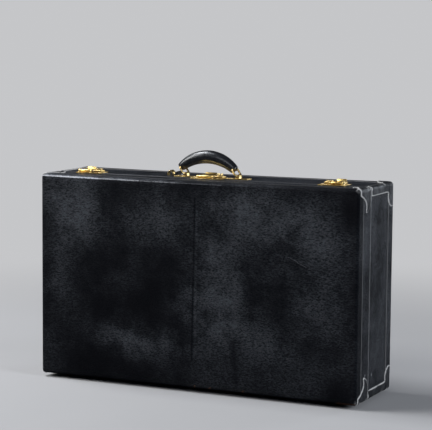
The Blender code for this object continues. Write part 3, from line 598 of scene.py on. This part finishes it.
def buildCap(word, end, level):
    name = "_".join((word, "corner", "upper" if level > 0 else "lower", "left" if end < 0 else "right"))
    radius = case["edgeRadius"]
    fold = math.pi * radius / 4
    middleZ = between(bottomZ, topZ, 0.5)

    def onCase(s, depth, lift):
        if s < -fold:
            inward, dropped, normal = 0, radius - s - fold, (1, 0)
        elif s > fold:
            inward, dropped, normal = radius + s - fold, 0, (0, 1)
        else:
            turn = math.pi / 4 * (1 + s / fold)
            normal = (math.cos(turn), math.sin(turn))
            inward, dropped = radius - radius * normal[0], radius - radius * normal[1]
        y = frontY + depth if word == "lid" else backY - depth
        # the band lies a little lower than the turned-over leather
        overBand = depth > (lidHigh.y - frontY if word == "lid" else backY - backLow.y) + 0.0004
        lift -= (topZ - bandTop) if overBand else 0
        x = end * (halfLength - inward + lift * normal[0])
        z = middleZ + level * ((topZ - bottomZ) / 2 - dropped + lift * normal[1])
        return settle((x, y, z)), Vector((end * normal[0], 0, level * normal[1]))

    legs = []
    for reach, side in ((caps["reach"], -1), (caps["wing"], 1)):
        strip = caps["strip"] * reach / caps["reach"]
        legs.append([Vector((side * (fold - radius + out), depth)) for depth, out in capOutline(word, reach, strip)])
    border = legs[0] + legs[1][::-1] + legs[0][:1]
    travel = [0]
    for a, b in zip(legs[0], legs[0][1:]):
        travel.append(travel[-1] + math.hypot(b.y - a.y, (b.x - a.x) * 0.2))
    leastWear = caps["wearAbove"] if level > 0 else caps["wearBelow"]
    bm = bmesh.new()
    wear = bm.verts.layers.float.new("wear")
    rows = []
    for k, way in enumerate(travel):
        plain = between(legs[0][0].y, legs[0][-1].y, way / travel[-1])
        row = []
        for column in range(caps["columns"] + 1):
            t = math.sin(math.pi * (column / caps["columns"] - 0.5))
            tip = legs[0][k] if t < 0 else legs[1][k]
            share = abs(t)
            spot = Vector((tip.x * share, between(plain, tip.y, share ** 2)))
            inside = distanceTo(spot, border)
            lift = between(-0.0003, caps["thickness"], smooth(inside / caps["skive"]))
            lift += 0.00015 * noise.noise(Vector((spot.x * 180, spot.y * 180, end + 2 * level)))
            place, normal = onCase(spot.x, spot.y, lift)
            vert = bm.verts.new(place)
            ruin = 0.5 + 0.5 * noise.noise(Vector((spot.x * 70, spot.y * 70, 3 * end + level)))
            broken = 0.5 + 0.9 * noise.noise(Vector((spot.x * 38 + 5, spot.y * 38, 2 * end + 3 * level)))
            rim = smooth(1.25 - inside / caps["wearWidth"]) * min(1.1, between(leastWear, 1.25, broken))
            vert[wear] = min(1.1, rim + 0.60 * ruin * smooth(1 - abs(spot.x) / 0.009) + 0.34 * smooth(ruin * 1.6 - 0.6))
            row.append(vert)
        rows.append(row)
    gridFaces(bm, rows)
    finishMesh(bm, name + "_leather", capLeather, word, [name], angle=80)
    centre = Vector((0, between(legs[0][0].y, legs[0][-1].y, 0.5)))
    for leg in legs:
        line, normals = [], []
        for k in range(1, len(leg) - 1):
            along = (leg[k + 1] - leg[k - 1]).normalized()
            inward = Vector((-along.y, along.x))
            if inward.dot(centre - leg[k]) < 0:
                inward = -inward
            spot = leg[k] + inward * caps["stitchInset"]
            if distanceTo(spot, border) > caps["stitchInset"] * 0.85:
                place, normal = onCase(spot.x, spot.y, caps["thickness"])
                line.append(place)
                normals.append(normal)
        stitchRow(word, line, normals)


for word in ("lid", "base"):
    for end in (-1, 1):
        for level in (-1, 1):
            buildCap(word, end, level)
print("corner caps made")


# Metal and small pieces, copied from their nodes with eased edges
def forge(node, material, width, rubAndHighlight=1.0):
    bm = bmesh.new()
    bm.from_mesh(frame["nodes"][node].data)
    for layer in list(bm.verts.layers.float):
        bm.verts.layers.float.remove(layer)
    bmesh.ops.remove_doubles(bm, verts=bm.verts, dist=0.00001)
    bmesh.ops.dissolve_limit(bm, angle_limit=math.radians(2), verts=bm.verts, edges=bm.edges)
    bmesh.ops.recalc_face_normals(bm, faces=bm.faces)
    wear = bm.faces.layers.float.new("wear")
    sharp = [edge for edge in bm.edges if edge.is_manifold and edge.calc_face_angle(0) > math.radians(28)]
    if sharp:
        made = bmesh.ops.bevel(bm, geom=sharp, offset=width, offset_type="OFFSET", segments=2, profile=0.5,
                               affect="EDGES", clamp_overlap=True, material=-1)
        # The bevelled edges get the wear value, which paints them paler: worn edges, and a painted highlight along each
        # edge
        for side in made["faces"]:
            side[wear] = rubAndHighlight
    return finishMesh(bm, node + "_" + material.name.split("_")[-1], material, bodyOf[node],
                      [node], angle=35)


for node in sorted(frame["nodes"]):
    slotName = slotOf[node]
    if slotName == "brass":
        forge(node, brass, 0.00028)
    elif slotName == "steel":
        forge(node, steel, 0.00015)
    elif node in ("side_loop_strap", "base_rim_frame"):
        forge(node, handleLeather if node == "side_loop_strap" else rimLeather, 0.0004, 0.75)
    elif slotName in ("lining_cloth", "fibre_board"):
        frame["nodes"][node].data.materials.clear()
        frame["nodes"][node].data.materials.append(liningCloth if slotName == "lining_cloth" else fibreBoard)
print("metal made")


# Screws
screw = {"radius": 0.0019, "height": 0.0006, "slot": 0.00032, "slotDepth": 0.0006, "fromEdge": 0.0065}


def addScrew(bm, place, normal):
    side = Vector((1, 0, 0))
    turn = Matrix.Rotation(dice.uniform(0, math.pi), 3, normal)
    side = turn @ side
    other = normal.cross(side)
    radius, slotHalf = screw["radius"], screw["slot"]
    layer = bm.verts.layers.float["wear"]
    slotShare = slotHalf / radius
    columns = [(-0.985, 0), (-0.86, 0), (-0.6, 0), (-slotShare, 0), (-slotShare, 1), (slotShare, 1),
               (slotShare, 0), (0.6, 0), (0.86, 0), (0.985, 0)]
    rows = []
    for across, sunk in columns:
        chord = math.sqrt(1 - across ** 2)
        row = []
        for step in (-1, -0.9, -0.5, 0, 0.5, 0.9, 1):
            flat = Vector((across, step * chord))
            rise = screw["height"] * (1 - flat.length ** 4) - screw["slotDepth"] * sunk
            rise = -screw["height"] if flat.length > 0.97 else rise
            vert = bm.verts.new(place + (side * flat.x + other * flat.y) * radius + normal * rise)
            vert[layer] = 0.6 * (1 - sunk)
            row.append(vert)
        rows.append(row)
    gridFaces(bm, rows)


def screwsOn(name, body, places, normal):
    bm = bmesh.new()
    bm.verts.layers.float.new("wear")
    for place in places:
        addScrew(bm, Vector(place), normal)
    finishMesh(bm, name, brass, body, angle=30)


for fastener in ("latch_left", "latch_right", "lock"):
    low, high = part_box(fastener + "_plate")
    caseLow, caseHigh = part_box(fastener + "_case")
    inset = min(caseLow.x - low.x, high.x - caseHigh.x) / 2
    xs = (low.x + inset, high.x - inset) if fastener != "lock" else (high.x - inset,)
    screwsOn(fastener + "_plate_screws", "base", [(x, between(low.y, high.y, 0.5), high.z) for x in xs], up)
    low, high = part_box(fastener + "_leaf")
    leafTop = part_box(fastener + "_plate")[1].z
    xs = (between(low.x, high.x, 0.12), between(low.x, high.x, 0.5), between(low.x, high.x, 0.88))
    screwsOn(fastener + "_leaf_screws", "lid", [(x, low.y + 0.0028, leafTop) for x in xs], up)
for word in ("left", "right"):
    low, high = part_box("handle_mount_" + word)
    surface = low.z + 0.0020
    xs = (low.x + screw["fromEdge"], high.x - screw["fromEdge"])
    screwsOn("handle_mount_screws_" + word, "base", [(x, between(low.y, high.y, 0.5), surface) for x in xs], up)
for word in ("left", "centre", "right"):
    for leafWord, body in (("base_leaf", "base"), ("lid_leaf", "lid")):
        low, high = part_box("hinge_" + word + "_" + leafWord)
        y = high.y - 0.006 if body == "base" else low.y + 0.006
        surface = high.z - 0.0012
        places = [(between(low.x, high.x, share), y, surface) for share in (0.15, 0.5, 0.85)]
        screwsOn("hinge_" + word + "_" + body + "_screws", body, places, down)
print("screws made")


# Handle grip: stuffed leather round the core
grip = {
    "rise": 0.0217,
    "halfLength": 0.0585,
    "thick": (0.0082, 0.0131),
    "wide": (0.0086, 0.0130),
    "fullness": 0.85,
    "tilt": 0.0009,         # the stuffing sits higher at the left end
    "stations": 72,
    "sides": 56,
    "welt": 0.0009,
    "weltAt": -50,          # degrees below the widest line
    "stitchAt": 9.5,        # degrees above the welt
    "stitchParts": 60,
}
leftEye = jointAt["grip_pivot"]
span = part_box("handle_mount_right")[0].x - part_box("handle_mount_left")[0].x
archRadius = ((span / 2) ** 2 + grip["rise"] ** 2) / (2 * grip["rise"])
archHalf = math.asin(span / 2 / archRadius)
archCentre = Vector((leftEye.x + span / 2, leftEye.y, leftEye.z + grip["rise"] - archRadius))


def gripPoint(share, theta, puff=1.0, extra=0.0):
    angle = share * grip["halfLength"] / (span / 2) * archHalf
    outward = Vector((math.sin(angle), 0, math.cos(angle)))
    swell = max(0, math.cos(share * math.pi / 2)) ** grip["fullness"]
    thick = between(grip["thick"][0], grip["thick"][1], swell) * puff
    wide = between(grip["wide"][0], grip["wide"][1], swell) * puff
    c, s = math.cos(theta), math.sin(theta)
    c, s = math.copysign(abs(c) ** 0.88, c), math.copysign(abs(s) ** 0.95, s)
    section = Vector((0, 1, 0)) * wide * c + outward * thick * s
    degrees = math.degrees(math.atan2(math.sin(theta), abs(math.cos(theta))))
    ridge = grip["welt"] * math.exp(-((degrees - grip["weltAt"]) / 7) ** 2)
    ditch = -0.00045 * math.exp(-((degrees - grip["weltAt"] - 15) / 5) ** 2)
    lift = (ridge + ditch) * puff + extra
    place = archCentre + outward * (archRadius - grip["tilt"] * share) + section + section.normalized() * lift
    return place, section.normalized()


bm = bmesh.new()
wear = bm.verts.layers.float.new("wear")
rings = []
ends = [(-1, puff) for puff in (0.30, 0.66, 0.86, 0.96)]
stations = ends + [(2 * k / grip["stations"] - 1, 1) for k in range(grip["stations"] + 1)]
stations += [(1, puff) for end, puff in reversed(ends)]
for share, puff in stations:
    if puff < 1:
        share = math.copysign(1 + 0.022 * math.sqrt(1 - puff ** 2) * 1.4, share)
    ring = []
    for k in range(grip["sides"]):
        theta = 2 * math.pi * k / grip["sides"]
        crumple = noise.noise(Vector((share * 9, math.cos(theta) * 1.4, math.sin(theta) * 1.4)))
        crumple += 0.5 * noise.noise(Vector((share * 34, math.cos(theta) * 3, math.sin(theta) * 3)))
        vert = bm.verts.new(gripPoint(share, theta, puff, 0.00016 * crumple)[0])
        degrees = math.degrees(math.atan2(math.sin(theta), abs(math.cos(theta))))
        onWelt = math.exp(-((degrees - grip["weltAt"]) / 9) ** 2)
        vert[wear] = min(1, onWelt * (0.55 + 0.3 * crumple) + 0.45 * smooth(abs(share) * 3 - 2.3)
                         + 0.28 * smooth(-math.sin(theta) * 2 - 1) * smooth(share * 2 - 0.2))
        ring.append(vert)
    rings.append(ring)
for first, second in zip(rings, rings[1:]):
    for k in range(grip["sides"]):
        bm.faces.new((first[k], first[(k + 1) % grip["sides"]], second[(k + 1) % grip["sides"]], second[k]))
bm.faces.new(rings[0])
bm.faces.new(rings[-1])
gripPiece = finishMesh(bm, "handle_grip_leather", handleLeather, "grip", ["handle_grip"], angle=70)
stitchTurn = math.radians(grip["weltAt"] + grip["stitchAt"])
for theta in (stitchTurn, math.pi - stitchTurn):
    line, normals = [], []
    for k in range(grip["stitchParts"] + 1):
        place, normal = gripPoint(0.97 * (2 * k / grip["stitchParts"] - 1), theta)
        line.append(place)
        normals.append(normal)
    stitchRow("grip", line, normals)
print("handle made")

buildStitches()
print("stitching made")

# Floor and light
studio = {
    "pale": (0.560, 0.565, 0.580, 1),     # the floor and the backdrop as the camera sees them
    "floor": (0.440, 0.443, 0.455, 1),
    "cloud": (0.410, 0.414, 0.428, 1),
    "felt": (0.085, 0.087, 0.095, 1),     # the floor as the leather and the brass see it
    "dim": (0.030, 0.032, 0.037, 1),
    "fade": (0.55, 1.9),
}
bm = bmesh.new()
bmesh.ops.create_grid(bm, x_segments=8, y_segments=8, size=9)
floorMesh = bpy.data.meshes.new("floor")
bm.to_mesh(floorMesh)
bm.free()
floor = bpy.data.objects.new("floor", floorMesh)
scene.collection.objects.link(floor)
recipe = Recipe("pale_floor")
nodes, links = recipe.tree.nodes, recipe.tree.links
tint = recipe.mix(recipe.noise(recipe.place, 3, 3), studio["floor"], studio["cloud"])
recipe.feed(recipe.shader, {"Base Color": tint, "Roughness": 0.8, "Specular IOR Level": 0.1})
felt = recipe.add("ShaderNodeBsdfDiffuse", {"Color": studio["felt"]})
far = recipe.add("ShaderNodeEmission", {"Color": studio["pale"], "Strength": 1.0})
reach = recipe.add("ShaderNodeVectorMath", {0: recipe.place}, operation="LENGTH").outputs["Value"]
pale = recipe.add("ShaderNodeMixShader", {0: recipe.spread(reach, *studio["fade"]), 1: recipe.shader.outputs[0],
                                          2: far.outputs[0]})
rays = recipe.add("ShaderNodeLightPath")
seen = recipe.add("ShaderNodeMixShader", {0: rays.outputs["Is Camera Ray"], 1: felt.outputs[0], 2: pale.outputs[0]})
links.new(seen.outputs[0], nodes["Material Output"].inputs["Surface"])
floorMesh.materials.append(recipe.material)

world = bpy.data.worlds.new("studio")
scene.world = world
world.use_nodes = True
tree = world.node_tree
tree.nodes.clear()
seen = tree.nodes.new("ShaderNodeBackground")
seen.inputs["Color"].default_value = studio["pale"]
felt = tree.nodes.new("ShaderNodeBackground")
felt.inputs["Color"].default_value = studio["dim"]
path = tree.nodes.new("ShaderNodeLightPath")
blend = tree.nodes.new("ShaderNodeMixShader")
output = tree.nodes.new("ShaderNodeOutputWorld")
tree.links.new(path.outputs["Is Camera Ray"], blend.inputs[0])
tree.links.new(felt.outputs[0], blend.inputs[1])
tree.links.new(seen.outputs[0], blend.inputs[2])
tree.links.new(blend.outputs[0], output.inputs["Surface"])

lamps = [
    # name, place, aim, width, height, watts, colour
    ("key", (-2.5, -1.5, 1.9), (0, 0, 0.25), 1.1, 1.1, 60, (1.0, 0.99, 0.97)),
    ("top", (-1.45, -0.25, 2.5), (-0.1, 0, 0.40), 1.1, 0.8, 62, (0.97, 0.98, 1.0)),
    ("side", (1.9, 3.0, 1.0), (0.34, 0, 0.25), 1.2, 1.2, 26, (0.88, 0.93, 1.0)),
    ("end", (3.0, -0.5, 1.1), (0.34, 0, 0.25), 0.9, 0.9, 55, (0.90, 0.94, 1.0)),
    ("fill", (0.6, -3.8, 2.3), (0, 0, 0.20), 2.0, 1.0, 22, (0.95, 0.97, 1.0)),
]
for name, place, aim, width, height, watts, colour in lamps:
    data = bpy.data.lights.new(name, "AREA")
    data.shape = "RECTANGLE"
    data.size = width
    data.size_y = height
    data.energy = watts
    data.color = colour
    lamp = bpy.data.objects.new(name, data)
    scene.collection.objects.link(lamp)
    lamp.location = place
    lamp.rotation_euler = (Vector(aim) - Vector(place)).to_track_quat("-Z", "Y").to_euler()

# Camera, fitted to the case's corners in the photograph
shot = {"place": (1.4305, -3.0243, 0.7188), "aim": (0.0038, 0, 0.3411), "roll": 0.467, "lens": 141.3}
cameraData = bpy.data.cameras.new("camera")
cameraData.lens = shot["lens"]
cameraData.sensor_width = 36
cameraData.clip_end = 50
camera = bpy.data.objects.new("camera", cameraData)
scene.collection.objects.link(camera)
forward = (Vector(shot["aim"]) - Vector(shot["place"])).normalized()
right = forward.cross(up).normalized()
above = right.cross(forward)
roll = math.radians(shot["roll"])
tiltedRight = right * math.cos(roll) + above * math.sin(roll)
tiltedUp = above * math.cos(roll) - right * math.sin(roll)
turned = Matrix((tiltedRight, tiltedUp, -forward)).transposed().to_4x4()
camera.matrix_world = Matrix.Translation(shot["place"]) @ turned
scene.camera = camera
scene.view_settings.view_transform = "Standard"
